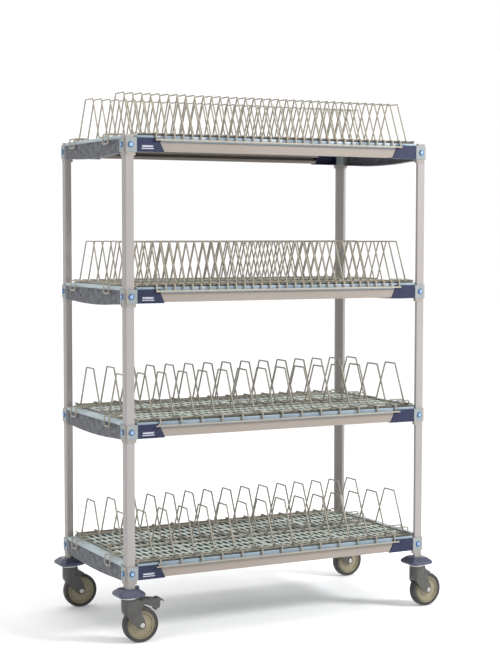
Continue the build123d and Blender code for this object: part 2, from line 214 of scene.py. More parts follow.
def mottled(name, base, dark, light):
    """Glass-filled composite with a swirled, mottled face."""
    m = Material(name)
    swirl = m.noise(scale=34.0, detail=8.0, rough=0.68, distortion=1.6)
    fleck = m.noise(scale=140.0, detail=5.0, rough=0.7, distortion=0.8)
    fine = m.noise(scale=1500.0, detail=2.0, rough=0.6)
    colour = m.mix(dark, base, m.ramp(swirl, low=0.36, high=0.64))
    colour = m.mix(colour, light, m.ramp(fleck, low=0.5, high=0.72), weight=0.5)
    # edges lightened: painted highlight
    colour = m.mix(colour, light, m.edge(radius=0.0018, gain=5.0), weight=0.35)
    m.surface(Base_Color=colour, Roughness=m.vary(fleck, span=0.25, start=0.36))
    m.bump((fleck, 0.5), (fine, 0.5), distance=0.0006, strength=0.3)


def steel(name, base, rough=0.28, streak=(1.0, 1.0, 30.0)):
    """Drawn steel with fine streaks and slightly darker spots."""
    m = Material(name)
    streaks = m.noise(scale=240.0, detail=4.0, rough=0.6, stretch=streak)
    spots = m.noise(scale=60.0, detail=5.0, rough=0.6)
    dark = tuple(int(v * 0.82) for v in base)
    colour = m.mix(dark, base, m.ramp(spots, low=0.3, high=0.75))
    m.surface(Base_Color=colour, Roughness=m.vary(streaks, span=0.22, start=rough - 0.05),
              Metallic=1.0)
    m.bump((streaks, 1.0), distance=0.0003, strength=0.15)


def rubber(name, base, dark, light):
    """Dusty rubber, paler at the edges as a painted highlight."""
    m = Material(name)
    dust = m.noise(scale=26.0, detail=7.0, rough=0.7)
    fine = m.noise(scale=1100.0, detail=2.0, rough=0.6)
    colour = m.mix(dark, base, m.ramp(dust, low=0.42, high=0.75))
    colour = m.mix(colour, light, m.ramp(fine, low=0.5, high=0.9), weight=0.3)
    # edges lightened: painted highlight
    colour = m.mix(colour, light, m.edge(radius=0.002), weight=0.3)
    m.surface(Base_Color=colour, Roughness=m.vary(dust, span=0.2, start=0.5))
    m.bump((fine, 0.7), (dust, 0.3), distance=0.0006)


def mat_polymer():
    """Open mats: worn khaki-grey tread, ribs below it darkened as painted shade, a pale rim, a solid border tinted
    taupe as painted shade with a warm painted reflection of the wires, edges paler as a painted highlight.
    """
    m = Material("mat_polymer")
    flow = m.noise(scale=9.0, detail=6.0, rough=0.65, distortion=0.7)
    patch = m.noise(scale=30.0, detail=5.0, rough=0.7)
    fine = m.noise(scale=1000.0, detail=2.0, rough=0.6)
    middle = m.noise(scale=130.0, detail=4.0, rough=0.6)
    place = m.node("ShaderNodeSeparateXYZ")
    m.feed(place.inputs[0], m.coords)
    from_middle_x = m.node("ShaderNodeMath", operation="ABSOLUTE")
    m.feed(from_middle_x.inputs[0], m.math("SUBTRACT", place.outputs[0], OX))
    from_middle_y = m.node("ShaderNodeMath", operation="ABSOLUTE")
    m.feed(from_middle_y.inputs[0], place.outputs[1])
    x, y, z = from_middle_x.outputs[0], from_middle_y.outputs[0], place.outputs[2]

    tread = m.mix((184, 190, 178), (203, 209, 197), m.ramp(flow, low=0.3, high=0.7))
    tread = m.mix(tread, (158, 184, 194), m.ramp(patch, low=0.5, high=0.72), weight=0.6)
    tread = m.mix(tread, (200, 206, 198), m.ramp(middle, low=0.5, high=0.8), weight=0.25)
    slot_shade = m.mix((46, 66, 68), (64, 88, 92), m.ramp(patch, low=0.3, high=0.7))
    rim = m.mix((120, 138, 150), (136, 152, 166), m.ramp(flow, low=0.3, high=0.7))
    rim = m.mix(rim, (196, 206, 214), m.ramp(middle, low=0.5, high=0.8), weight=0.2)
    strip = m.mix((158, 174, 180), (176, 190, 194), m.ramp(flow, low=0.3, high=0.7))
    # the solid border strips: taupe painted shade with a warm painted reflection of the wires
    border_shade = m.mix((146, 140, 126), (168, 161, 146), m.ramp(patch, low=0.3, high=0.7))

    # zone boundaries in metres: down into the slots, out to the long sides, out to the ends
    # the slot walls below the top take the painted shade colour
    colour = m.mix(tread, slot_shade, m.ramp(z, low=0.0316, high=0.0285))
    colour = m.mix(colour, border_shade, m.ramp(y, low=0.256, high=0.259))
    colour = m.mix(colour, rim, m.ramp(y, low=0.2948, high=0.2956))
    colour = m.mix(colour, strip, m.ramp(x, low=0.5525, high=0.5545))
    # edges paler: painted highlight
    colour = m.mix(colour, (206, 212, 206), m.edge(), weight=0.3)
    m.surface(Base_Color=colour, Roughness=m.vary(middle, span=0.22, start=0.26), IOR=1.5)
    m.bump((fine, 0.5), (middle, 0.5))


# Each: name, base, dark and light colours, then what differs from the family's defaults.
WIRE = dict(grain=700.0, bump=0.12, edge=0.1)
CASTER = dict(rough=0.46, grain=900.0, bump=0.35, cloud=18.0)
coat("post_coat", (158, 153, 151), (146, 141, 139), (184, 180, 178), rough=0.4,
     streak=(1, 1, 0.15))
coat("beam_coat", (148, 138, 130), (138, 128, 119), (176, 168, 160), streak=(0.2, 1, 1))
coat("wire_coat", (167, 160, 146), (150, 143, 129), (192, 186, 172), rough=0.36, **WIRE)
coat("wire_coat_tray", (154, 148, 136), (136, 130, 118), (186, 180, 167), rough=0.38, **WIRE)
plastic("sleeve_plastic", (158, 153, 146), (142, 137, 130), (190, 186, 180), rough=0.4)
# a dark copy of the wire coat: painted shade for the front outer rail, in the gap under the wires
coat("wire_coat_painted_shade", (62, 60, 52), (48, 46, 40), (92, 90, 80), rough=0.5, **WIRE)
plastic("cap_plastic", (176, 170, 162), (162, 156, 148), (198, 192, 185), rough=0.5)
plastic("collar_plastic", (144, 151, 153), (131, 138, 141), (192, 198, 199), rough=0.34,
        subsurface=0.03)
plastic("button_blue", (52, 100, 152), (38, 80, 132), (96, 146, 190), rough=0.3, bump=0.08)
plastic("button_dome", (150, 184, 216), (128, 164, 202), (206, 224, 240), rough=0.22, bump=0.05)
plastic("navy_composite", (34, 39, 72), (26, 30, 56), (92, 108, 134), rough=0.46, bump=0.22,
        ior=1.38)
mottled("end_composite", (90, 93, 99), (47, 50, 58), (164, 167, 171))
plastic("label_ground", (66, 68, 96), (56, 58, 84), (96, 98, 124), rough=0.4, bump=0.05)
plastic("label_bar", (206, 208, 216), (190, 192, 202), (228, 230, 236), rough=0.4, bump=0.05)
plastic("bumper_plastic", (70, 74, 94), (56, 60, 80), (124, 130, 148), rough=0.34, bump=0.3)
plastic("ring_plastic", (222, 222, 220), (206, 206, 204), (240, 240, 238), rough=0.4)
steel("stem_steel", (190, 190, 190))
plastic("fork_polymer", (80, 79, 77), (65, 65, 63), (124, 124, 121), **CASTER)
steel("axle_steel", (214, 213, 210), rough=0.22, streak=(1, 1, 1))
rubber("tyre_rubber", (62, 61, 58), (44, 43, 41), (92, 90, 86))
plastic("core_polymer", (146, 137, 113), (122, 114, 92), (180, 171, 148), rough=0.42,
        grain=900.0, bump=0.25, cloud=34.0)
plastic("bush_polymer", (205, 204, 196), (190, 189, 181), (224, 223, 216), rough=0.4)
plastic("pedal_polymer", (80, 80, 78), (64, 64, 62), (120, 120, 117), **CASTER)
mat_polymer()


# ------------------------------------------------------------------ meshes and objects
@contextmanager
def editing(mesh):
    bm = bmesh.new()
    bm.from_mesh(mesh)
    yield bm
    bm.to_mesh(mesh)
    bm.free()


def set_shading(bm, sharp, smooth=True):
    """Smooth or flat faces; edges turning by more than sharp degrees stay sharp."""
    for face in bm.faces:
        face.smooth = smooth
    limit = math.radians(sharp)
    for edge in bm.edges:
        edge.smooth = not (len(edge.link_faces) == 2 and edge.calc_face_angle(0.0) > limit)


def finish_normals(mesh, sharp, smooth=True):
    with editing(mesh) as bm:
        bmesh.ops.recalc_face_normals(bm, faces=bm.faces)
        set_shading(bm, sharp, smooth)


def round_edges(bm, edges, width, segments):
    bmesh.ops.bevel(bm, geom=edges, offset=width, offset_type="OFFSET", segments=segments,
                    profile=0.5, affect="EDGES", clamp_overlap=True)


def new_object(name, data):
    ob = bpy.data.objects.new(name, data)
    bpy.context.scene.collection.objects.link(ob)
    return ob


def fit(ob, node):
    """Puts an object on the body of the CAD piece it replaces."""
    # a piece that no body lists rides under its own name
    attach(ob, BODY.get(node, node))
    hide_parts(node)


def add_part(name, mesh, node, z=0.0):
    ob = new_object(name, mesh)
    ob.location = (0, 0, z * MM)
    fit(ob, node)


def row_frame(z=0.0):
    """Maps mm from the middle, raised by z, to metres in the row frame."""
    return lambda p: (OX + p[0] * MM, p[1] * MM, (p[2] + z) * MM)


class Shape:
    """Points, faces and a material slot per face, gathered piece by piece."""

    def __init__(self):
        self.points, self.faces, self.slots = [], [], []

    def add(self, points, faces, slot=0):
        """Joins in a piece whose faces count from its own first point."""
        first = len(self.points)
        self.points += points
        self.faces += [tuple(first + i for i in face) for face in faces]
        self.slots += [slot] * len(faces)

    def mesh(self, name, materials, place, sharp=40.0, smooth=True):
        mesh = bpy.data.meshes.new(name)
        mesh.from_pydata([place(p) for p in self.points], [], self.faces)
        for material in materials:
            mesh.materials.append(MATERIALS[material])
        if len(materials) > 1:
            mesh.polygons.foreach_set("material_index", np.asarray(self.slots, dtype=np.int32))
        mesh.validate()
        finish_normals(mesh, sharp, smooth)
        return mesh


def soften(node, material, width, segments=3, angle=28.0, sharp=50.0):
    """A finished copy of a CAD piece: welded, flat faces joined, edges rounded by width mm."""
    mesh = NODES[node].data.copy()
    mesh.name = node + "_skin"
    with editing(mesh) as bm:
        bmesh.ops.remove_doubles(bm, verts=bm.verts, dist=2e-5)
        bmesh.ops.dissolve_limit(bm, angle_limit=math.radians(0.6), verts=bm.verts,
                                 edges=bm.edges)
        bmesh.ops.recalc_face_normals(bm, faces=bm.faces)
        limit = math.radians(angle)
        edges = [e for e in bm.edges
                 if len(e.link_faces) == 2 and e.calc_face_angle(0.0) > limit]
        round_edges(bm, edges, width * MM, segments)
        bmesh.ops.remove_doubles(bm, verts=bm.verts, dist=5e-6)
        set_shading(bm, sharp)
    mesh.materials.clear()
    mesh.materials.append(MATERIALS[material])
    for face in mesh.polygons:
        face.material_index = 0
    ob = new_object(mesh.name, mesh)
    ob.modifiers.new("weighted", "WEIGHTED_NORMAL").keep_sharp = True
    fit(ob, node)
    return ob


# ------------------------------------------------------------------ basic pieces
# Each returns points and faces for Shape.add.
CORNER_STEP = 11.0      # most degrees turned per step of a rounded corner
END_ROUND = 0.35        # length of a wire's rounded end, in wire radii


def unit(vector):
    return vector / np.linalg.norm(vector)


def round_path(points, radii):
    """A polyline with each inner corner rounded by its radius."""
    points = [np.array(p, float) for p in points]
    path = [points[0]]
    for before, corner, after, radius in zip(points, points[1:], points[2:], radii):
        u, v = unit(before - corner), unit(after - corner)
        angle = math.acos(float(u @ v))
        reach = radius / math.tan(angle / 2)
        centre = corner + unit(u + v) * (radius / math.sin(angle / 2))
        turn = math.pi - angle
        steps = max(2, int(math.ceil(math.degrees(turn) / CORNER_STEP)))
        start, end = corner + u * reach - centre, corner + v * reach - centre
        for k in range(steps + 1):
            t = k / steps
            arm = math.sin((1 - t) * turn) * start + math.sin(t * turn) * end
            path.append(centre + arm / math.sin(turn))
    path.append(points[-1])
    return path


def tube(path, radius, sides):
    """A round wire along a path, with softly rounded ends."""
    path = [np.array(p, float) for p in path]
    first, last = unit(path[1] - path[0]), unit(path[-1] - path[-2])
    inset = END_ROUND * radius
    path = ([path[0], path[0] + first * inset] + path[1:-1]
            + [path[-1] - last * inset, path[-1]])
    tip = radius * (1 - END_ROUND * 0.9)
    radii = [tip] + [radius] * (len(path) - 2) + [tip]
    normal = unit(np.cross(first, [0.0, 0.0, 1.0] if abs(first[2]) < 0.9 else [0.0, 1.0, 0.0]))
    points, faces = [], []
    for i, p in enumerate(path):
        if i == 0:
            along = first
        elif i == len(path) - 1:
            along = last
        else:
            along = unit(path[i + 1] - path[i - 1])
        normal = unit(normal - along * (normal @ along))
        side = np.cross(along, normal)
        for j in range(sides):
            a = 2 * math.pi * j / sides
            points.append(p + radii[i] * (math.cos(a) * normal + math.sin(a) * side))
    for i in range(len(path) - 1):
        for j in range(sides):
            a, b = i * sides + j, i * sides + (j + 1) % sides
            faces.append((a, b, b + sides, a + sides))
    faces.append(range(sides - 1, -1, -1))
    faces.append(range(len(points) - sides, len(points)))
    return points, faces


def bead(x, y, z, half_x, half_y, half_z, around=8, rows=4):
    """A small weld bead."""
    points, faces = [(x, y, z - half_z)], []
    for i in range(1, rows):
        tilt = -math.pi / 2 + math.pi * i / rows
        for j in range(around):
            a = 2 * math.pi * j / around
            points.append((x + half_x * math.cos(tilt) * math.cos(a),
                           y + half_y * math.cos(tilt) * math.sin(a),
                           z + half_z * math.sin(tilt)))
    points.append((x, y, z + half_z))
    top_row = 1 + (rows - 2) * around
    for j in range(around):
        k = (j + 1) % around
        faces.append((0, 1 + k, 1 + j))
        for i in range(rows - 2):
            a, b = 1 + i * around + j, 1 + i * around + k
            faces.append((a, b, b + around, a + around))
        faces.append((top_row + j, top_row + k, len(points) - 1))
    return points, faces


def lathe(profile, steps, place=tuple, closed=True):
    """Turns (radius, along) points about local y; an open profile isn't joined end to start."""
    points, faces = [], []
    size = len(profile)
    for j in range(steps):
        a = 2 * math.pi * j / steps
        points += [place((r * math.cos(a), y, r * math.sin(a))) for r, y in profile]
    for j in range(steps):
        k = (j + 1) % steps
        for i in range(size if closed else size - 1):
            i2 = (i + 1) % size
            faces.append((j * size + i, j * size + i2, k * size + i2, k * size + i))
    return points, faces


def box(x0, x1, y0, y1, z0, z1):
    points = [(x, y, z) for x in (x0, x1) for y in (y0, y1) for z in (z0, z1)]
    return points, [(0, 1, 3, 2), (4, 6, 7, 5), (0, 4, 5, 1),
                    (2, 3, 7, 6), (0, 2, 6, 4), (1, 5, 7, 3)]


# ------------------------------------------------------------------ wire racks
RAIL_R = 3.0
RAIL_SIDES, WIRE_SIDES = 16, 12
CLEAR = 0.05                    # gap between crossing wires
RAIL_Z, LOW_RAIL_Z = 35.2, 17.6
LOW_RAIL_Y = 313.45 - RAIL_R
DROP_X = 486.0                  # loops within this drop to the low rail
LOOPS_X = 550.0                 # the end loops
LOOP_TOP = 186.0
RAIL_END_X = 555.5
CROSS_RAIL_Y = 256              # half length of the rails across the ends
OUTER_RAIL_Y, OUTER_RAIL_END_X = 294.0, 548.0
FOOT_BEND, TOP_BEND, DROP_BEND = 6.5, 4.2, 4.0
HOOK_X, HOOK_ROOT_X = HX + 13.4, 553.0
HOOK_Y, HOOK_Z = (137.0, 183.0), 8.0


class Rack:
    """Two rows of bent loops on a rail frame, with low rails and end hooks."""

    def __init__(self, kind, coat, loops, row_y, half_top, half_foot, wire):
        self.kind, self.coat, self.wire = kind, coat, wire
        self.loop_x = [-LOOPS_X + 2 * LOOPS_X / (loops - 1) * k for k in range(loops)]
        self.row_y, self.half_top, self.half_foot = row_y, half_top, half_foot
        self.wire_z = RAIL_Z + RAIL_R + wire + CLEAR
        self.drop_y = LOW_RAIL_Y - RAIL_R - wire - CLEAR

    def add(self, shape, name, node, tier, z, materials):
        mesh = shape.mesh(f"{self.kind}_{name}_{tier}", materials, row_frame(z))
        add_part(mesh.name, mesh, f"{self.kind}_{node}_{tier}")

    def add_loops(self, tier, z):
        random = np.random.RandomState(100 + tier)
        row, foot, peak, foot_z = self.row_y, self.half_foot, self.half_top, self.wire_z
        top_z = LOOP_TOP - self.wire
        shape = Shape()
        for x in self.loop_x:
            rear = [(x, row - foot, foot_z), (x, row - peak, top_z),
                    (x, row + peak, top_z), (x, row + foot, foot_z)]
            bends = [FOOT_BEND, TOP_BEND, TOP_BEND, FOOT_BEND]
            if abs(x) < DROP_X:
                rear += [(x, self.drop_y, foot_z), (x, self.drop_y, LOW_RAIL_Z - 3.0)]
                bends.append(DROP_BEND)
            else:
                rear.append((x, HY - 2, foot_z))
            front = [(px, -py, pz) for px, py, pz in reversed(rear)]
            path = round_path(front + rear, bends[::-1] + bends)
            # a hand-bent rack: each loop leans by a fraction of a millimetre
            lean, twist = random.normal(0, 0.55), random.normal(0, 0.35)
            for p in path:
                height = max(0.0, (p[2] - foot_z) / (top_z - foot_z))
                p[0] += height * height * (lean + (twist if p[1] > 0 else -twist))
            shape.add(*tube(path, self.wire, WIRE_SIDES))
        self.add(shape, "formed_wires", "loops", tier, z, [self.coat])

    def add_rails(self, tier, z):
        """Rails under the loops; the front outer one is coated dark as painted shade."""
        shape = Shape()
        rails = [(self.row_y - self.half_foot - 9, RAIL_END_X),
                 (self.row_y + self.half_foot + 9, RAIL_END_X),
                 (OUTER_RAIL_Y, OUTER_RAIL_END_X)]
        for side in (-1, 1):
            for y, end in rails:
                path = [(x, side * y, RAIL_Z) for x in (-end, 0, end)]
                # the front outer rail takes the dark coat: painted shade
                in_painted_shade = y == OUTER_RAIL_Y and side < 0
                shape.add(*tube(path, RAIL_R, RAIL_SIDES), slot=int(in_painted_shade))
            x = side * (RAIL_END_X + RAIL_R + CLEAR)
            shape.add(*tube([(x, -CROSS_RAIL_Y, RAIL_Z), (x, CROSS_RAIL_Y, RAIL_Z)],
                            RAIL_R, RAIL_SIDES))
        for x in self.loop_x:                # weld beads where wires cross rails
            for y in [side * y for side in (-1, 1) for y, end in rails]:
                if abs(y) == OUTER_RAIL_Y and abs(x) > OUTER_RAIL_END_X - 2:
                    continue
                shape.add(*bead(x + 0.1, y, RAIL_Z + RAIL_R - 0.1, 3.1, 2.7, 1.25))
        self.add(shape, "rail_frame", "rails", tier, z, [self.coat, "wire_coat_painted_shade"])

    def add_skirt(self, tier, z):
        """The low rails along front and rear, and a pair of hooks at each end."""
        shape = Shape()
        for side in (-1, 1):
            y = side * LOW_RAIL_Y
            shape.add(*tube([(-DROP_X - 2, y, LOW_RAIL_Z), (DROP_X + 2, y, LOW_RAIL_Z)],
                            RAIL_R, RAIL_SIDES))
            for x in self.loop_x:
                if abs(x) < DROP_X:
                    shape.add(*bead(x, side * (self.drop_y + self.wire), LOW_RAIL_Z,
                                    2.6, 1.2, 3.1))
        for end in (-1, 1):
            root, out = end * HOOK_ROOT_X, end * HOOK_X
            for side in (-1, 1):
                ya, yb = (side * y for y in HOOK_Y)
                path = [(root, ya, self.wire_z), (out, ya, self.wire_z), (out, ya, HOOK_Z),
                        (out, yb, HOOK_Z), (out, yb, self.wire_z), (root, yb, self.wire_z)]
                shape.add(*tube(round_path(path, [FOOT_BEND] * 4), self.wire, WIRE_SIDES))
                for y in (ya, yb):
                    shape.add(*bead(end * (RAIL_END_X + RAIL_R), y, RAIL_Z + RAIL_R - 0.1,
                                    2.7, 3.0, 1.25))
        self.add(shape, "skirt_and_hooks", "skirt", tier, z, [self.coat])


PLATE_RACK = Rack("plate_rack", "wire_coat", loops=34, row_y=143.0, half_top=35.0,
                  half_foot=98.0, wire=2.65)
TRAY_RACK = Rack("tray_rack", "wire_coat_tray", loops=15, row_y=142.0, half_top=34.0,
                 half_foot=97.0, wire=2.9)
for tier, tier_z in enumerate(TIERS, 1):
    rack = PLATE_RACK if tier <= 2 else TRAY_RACK
    rack.add_loops(tier, tier_z)
    rack.add_rails(tier, tier_z)
    rack.add_skirt(tier, tier_z)

# ------------------------------------------------------------------ open mats
MAT_X, MAT_Y = HX + 3.0, HY + 1.0           # half sizes
NOTCH_X, NOTCH_Y = HX - 41.5, HY - 41.5     # the corners beyond these are cut out
SECTIONS = 4
SECTION_GAP = 0.4                           # taken off each side of a joint
SLOT_EDGE_X, SLOT_EDGE_Y = 4.4, 4.6         # cell edge to slot
RIM_WIDTH = 5.5
SPAN_X = 466.0                              # the rim is deep within this


def section_ends(k):
    length = 2 * MAT_X / SECTIONS
    return (-MAT_X + k * length + (0 if k == 0 else SECTION_GAP),
            -MAT_X + (k + 1) * length - (0 if k == SECTIONS - 1 else SECTION_GAP))


def mat_plate(bm, k):
    """A deep plate with rows of rounded slots; returns its top outline and slot edges."""
    x0, x1 = section_ends(k)
    y_end = MAT_Y - 0.9
    ys = [-y_end, -y_end + 12] + list(np.linspace(-NOTCH_Y, NOTCH_Y, 9)) + [y_end - 12, y_end]
    if k == 0:
        xs = [x0, x0 + 7] + list(np.linspace(-NOTCH_X, x1 - 6, 11)) + [x1]
    elif k == SECTIONS - 1:
        xs = [x0] + list(np.linspace(x0 + 6, NOTCH_X, 11)) + [x1 - 7, x1]
    else:
        xs = [x0] + list(np.linspace(x0 + 6, x1 - 6, 12)) + [x1]
    shared = {}

    def corner(x, y):
        key = (round(x, 3), round(y, 3))
        if key not in shared:
            shared[key] = bm.verts.new((x, y, MAT_TOP))
        return shared[key]

    tops = []
    for xa, xb in zip(xs, xs[1:]):
        for ya, yb in zip(ys, ys[1:]):
            xc, yc = (xa + xb) / 2, (ya + yb) / 2
            if abs(yc) > NOTCH_Y and abs(xc) > NOTCH_X:
                continue
            w, h = (xb - xa) / 2, (yb - ya) / 2
            step = max(h - 12.0, h * 0.25)
            low_y, high_y = yc - step, yc + step
            outline = [(xc, yb), (xb, yb), (xb, high_y), (xb, yc), (xb, low_y), (xb, ya),
                       (xc, ya), (xa, ya), (xa, low_y), (xa, yc), (xa, high_y), (xa, yb)]
            ring = [corner(x, y) for x, y in outline]
            if not (10 < w < 16 and h > 20):
                tops.append(bm.faces.new(ring[::-1]))
                continue
            sw, sl = w - SLOT_EDGE_X, h - SLOT_EDGE_Y
            c = sw * 0.62
            slot = [(0, sl), (c, sl - sw * 0.22), (sw, sl - sw), (sw, 0), (sw, -sl + sw),
                    (c, -sl + sw * 0.22), (0, -sl), (-c, -sl + sw * 0.22), (-sw, -sl + sw),
                    (-sw, 0), (-sw, sl - sw), (-c, sl - sw * 0.22)]
            inner = [bm.verts.new((xc + x, yc + y, MAT_TOP)) for x, y in slot]
            for q in range(12):
                r = (q + 1) % 12
                tops.append(bm.faces.new((ring[r], ring[q], inner[q], inner[r])))
    rim = [e for e in bm.edges if len(e.link_faces) == 1]
    # ribs are deep in the middle, where nothing lies under them, and shallow over the frame
    low = {}
    for face in tops:
        for v in face.verts:
            if v not in low:
                z = 13.0 if abs(v.co.x) < 446 and abs(v.co.y) < 262 else 24.0
                low[v] = bm.verts.new((v.co.x, v.co.y, z))
    for face in tops:
        bm.faces.new([low[v] for v in reversed(face.verts)])
    for edge in rim:
        a, b = edge.verts
        bm.faces.new((a, b, low[b], low[a]))
    return rim


def mat_bars(bm, k):
    """Rim bars on the long sides, and one under each outer end; returns all edges."""
    def bar(*extent):
        points, faces = box(*extent)
        verts = [bm.verts.new(p) for p in points]
        for face in faces:
            bm.faces.new([verts[q] for q in face])

    x0, x1 = section_ends(k)
    for side in (-1, 1):
        ya, yb = sorted((side * MAT_Y, side * (MAT_Y - RIM_WIDTH)))
        bar(max(x0, -SPAN_X), min(x1, SPAN_X), ya, yb, 11.2, 31.0)
        for xa, xb in ((max(x0, -NOTCH_X + 0.5), -SPAN_X - 0.5),
                       (SPAN_X + 0.5, min(x1, NOTCH_X - 0.5))):
            if xb > xa:
                bar(xa, xb, ya, yb, 24.1, 31.0)
    if k == 0:
        bar(x0, x0 + 5, -NOTCH_Y, NOTCH_Y, 20.2, 24.0)
    elif k == SECTIONS - 1:
        bar(x1 - 5, x1, -NOTCH_Y, NOTCH_Y, 20.2, 24.0)
    return list(bm.edges)


def mat_mesh():
    whole = bmesh.new()
    for k in range(SECTIONS):
        for draw, width in ((mat_plate, 1.1), (mat_bars, 0.8)):
            part = bmesh.new()
            edges = draw(part, k)
            bmesh.ops.recalc_face_normals(part, faces=part.faces)
            round_edges(part, edges, width, segments=2)
            carrier = bpy.data.meshes.new("tmp")
            part.to_mesh(carrier)
            part.free()
            whole.from_mesh(carrier)
            bpy.data.meshes.remove(carrier)
    bmesh.ops.scale(whole, vec=(MM, MM, MM), verts=whole.verts)
    bmesh.ops.translate(whole, vec=(OX, 0, 0), verts=whole.verts)
    mesh = bpy.data.meshes.new("open_mats")
    whole.to_mesh(mesh)
    whole.free()
    mesh.materials.append(MATERIALS["mat_polymer"])
    finish_normals(mesh, sharp=38.0)
    return mesh


open_mats = mat_mesh()
for tier, tier_z in enumerate(TIERS, 1):
    add_part(f"open_mats_{tier}", open_mats, f"mats_{tier}", tier_z)

# ------------------------------------------------------------------ ribbed end frames
END_Y = HY - 41.4                       # half length
END_STEPS, FACE_STEPS = 300, 26         # along y, and up the outer face
FACET, FACET_RISE = 70.0, 42.0          # pitch of the crossed ridges along y, and its rise
RIDGE_LEAN = 0.51                       # distance along y to distance across a ridge
# (distance from the middle in y, z of the bottom edge)
BOTTOM = [(0, -36), (60, -35.6), (130, -33.5), (200, -29.5), (END_Y, -27)]


def triangle(t):
    return 1 - abs(2 * (t % 1.0) - 1)


def emboss(y, z):
    """Relief of the outer face over its sunk base: crossed facets between two flat ends."""
    if abs(y) > 226:
        return 2.1 if abs(y) > 229 else 0.0
    shift = FACET / FACET_RISE * (z + 27.0)
    crossed = ((y + shift + 3 * FACET) / FACET, (y - shift + 3 * FACET) / FACET)
    relief = 0.2 + 0.95 * triangle(crossed[0]) + 0.95 * triangle(crossed[1])
    for t in crossed:
        away = abs((t + 0.5) % 1.0 - 0.5) * FACET * RIDGE_LEAN
        relief = max(relief, 2.3 * max(0.0, 1 - (away / 1.7) ** 2))
    return max(relief, 2.2 * max(0.0, 1 - abs(z - 15.5) / 2.5))


def end_section(y):
    """The (x, z) outline of the left end frame at y."""
    bottom = float(np.interp(abs(y), *zip(*BOTTOM)))
    outline = [(-HX + 15.0, bottom + 0.6), (-HX - 3.4, bottom), (-HX - 4.6, bottom + 0.5)]
    for q in range(FACE_STEPS + 1):
        z = bottom + 1.4 + (19.2 - bottom - 1.4) * q / FACE_STEPS
        lip = 2.6 * max(0.0, 1 - (z - bottom) / 5.5)
        recess = 0.0                    # in the middle, along the top
        if abs(y) < 34 and z > 10.5:
            recess = 3.0 * min(1.0, (z - 10.5) / 1.5) * min(1.0, (34 - abs(y)) / 3.0)
        outline.append((-HX - 3.5 - max(emboss(y, z), lip) + recess, z))
    # top flange, back of the panel, bottom lip
    return outline + [(-HX - 4.2, 19.9), (-HX - 3.0, 20.0), (-HX + 30.0, 20.0),
                      (-HX + 30.0, 16.5), (-HX + 1.0, 16.5), (-HX, 15.5), (-HX, bottom + 5.5),
                      (-HX + 1.2, bottom + 4.2), (-HX + 15.0, bottom + 4.2)]


def end_frame_mesh():
    points, faces = [], []
    for s in range(END_STEPS + 1):
        y = -END_Y + 2 * END_Y * s / END_STEPS
        points += [(x, y, z) for x, z in end_section(y)]
    size = len(points) // (END_STEPS + 1)
    for s in range(END_STEPS):
        for q in range(size):
            a, b = s * size + q, s * size + (q + 1) % size
            faces.append((a, b, b + size, a + size))
    faces.append(range(size - 1, -1, -1))
    faces.append(range(END_STEPS * size, len(points)))
    shape = Shape()
    shape.add(points, faces)
    shape.add([(-x, y, z) for x, y, z in points], [tuple(reversed(f)) for f in faces])
    return shape.mesh("ribbed_end_frames", ["end_composite"], row_frame(), sharp=42.0)


end_frames = end_frame_mesh()
for tier, tier_z in enumerate(TIERS, 1):
    add_part(f"ribbed_end_frames_{tier}", end_frames, f"end_frames_{tier}",
             tier_z)

# ------------------------------------------------------------------ posts, collars, corners
for post in ("post_front_left", "post_front_right", "post_rear_left", "post_rear_right"):
    NODES[post].data.materials.clear()
    NODES[post].data.materials.append(MATERIALS["post_coat"])
soften("post_caps", "cap_plastic", width=0.8)

SLEEVE = 7.0            # width of the sleeve strip in from the outer faces
SLEEVE_TOP = -23.9      # from the tier; all of the collar below is sleeve


def paint_sleeves(mesh):
    """Marks the sleeve between and below the two pads of each collar."""
    mesh.materials.append(MATERIALS["sleeve_plastic"])
    cut_x, cut_y = (HX - SLEEVE) * MM, (HY - SLEEVE) * MM
    with editing(mesh) as bm:
        for at, across in (((OX - cut_x, 0, 0), (1, 0, 0)), ((OX + cut_x, 0, 0), (1, 0, 0)),
                           ((0, -cut_y, 0), (0, 1, 0)), ((0, cut_y, 0), (0, 1, 0))):
            bmesh.ops.bisect_plane(bm, geom=bm.verts[:] + bm.edges[:] + bm.faces[:],
                                   plane_co=at, plane_no=across, dist=1e-6)
        for face in bm.faces:
            c = face.calc_center_median()
            in_x, in_y = HX - abs(c.x - OX) / MM, HY - abs(c.y) / MM
            from_tier = min((c.z / MM - z for z in TIERS), key=abs)
            if (in_x < SLEEVE and in_y < SLEEVE) or from_tier < SLEEVE_TOP:
                face.material_index = 1


paint_sleeves(soften("wedge_collars", "collar_plastic", width=0.9).data)
soften("shelf_corner_castings", "navy_composite", width=1.2)

# plates at each tier's front left corner: x0, x1, y0, y1, z0, z1 from the tier, slot
PLATES = [
    (-537.0, -491.0, -302.0, -301.58, -15.0, 1.0, 0),
    (-534.5, -495.0, -302.3, -301.9, -6.4, -2.6, 1),
    (-536.0, -492.0, -302.3, -301.9, -13.2, -11.0, 1),
]
plates = Shape()
for tier_z in TIERS:
    for x0, x1, y0, y1, z0, z1, slot in PLATES:
        plates.add(*box(x0, x1, y0, y1, tier_z + z0, tier_z + z1), slot=slot)
add_part("plain_corner_plates",
         plates.mesh("plain_corner_plates", ["label_ground", "label_bar"], row_frame(),
                     smooth=False),
         "corner_labels")

for tier in (1, 2, 3, 4):
    soften(f"long_beams_{tier}", "beam_coat", width=0.8)
soften("bumpers", "bumper_plastic", width=1.3, angle=14.0, sharp=30.0)
soften("caster_stems", "stem_steel", width=0.5, segments=2)
soften("swivel_rings", "ring_plastic", width=0.9)

# ------------------------------------------------------------------ lock buttons
BUTTON_R = 9.5
BUTTON_IN = 18.75       # button centre in from the post's outer corner
